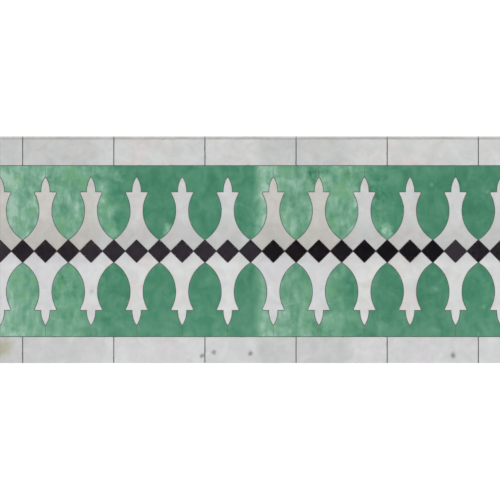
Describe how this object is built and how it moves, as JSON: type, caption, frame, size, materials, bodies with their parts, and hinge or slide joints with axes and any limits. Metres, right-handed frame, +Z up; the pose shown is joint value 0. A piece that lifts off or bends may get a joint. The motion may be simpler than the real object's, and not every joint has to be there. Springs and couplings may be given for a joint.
{
  "type": "mosaic tile border panel",
  "caption": "Straight border panel of cut glazed tile: leaf and finial pieces mirrored about a row of diamonds between plain border tiles, set in a cement bed.",
  "frame": {"origin": "middle of the cement bed's underside, at the centre of the panel's bounding box", "axes": "+X along the border towards the trimmed right end, +Y across it towards the edge with the grout margin, +Z up out of the glazed face"},
  "size_m": [0.553, 0.2488, 0.02],
  "materials": {
    "white_glaze": "gloss",
    "green_glaze": "gloss",
    "black_glaze": "gloss",
    "cement": "matte"
  },
  "bodies": {
    "root": {"top_border_tiles": "white_glaze", "upper_leaves": "green_glaze", "upper_finials": "white_glaze", "diamonds": "black_glaze", "lower_finials": "white_glaze", "lower_leaves": "green_glaze", "bottom_border_tiles": "white_glaze", "cement_bed": "cement"}
  },
  "joints": []
}
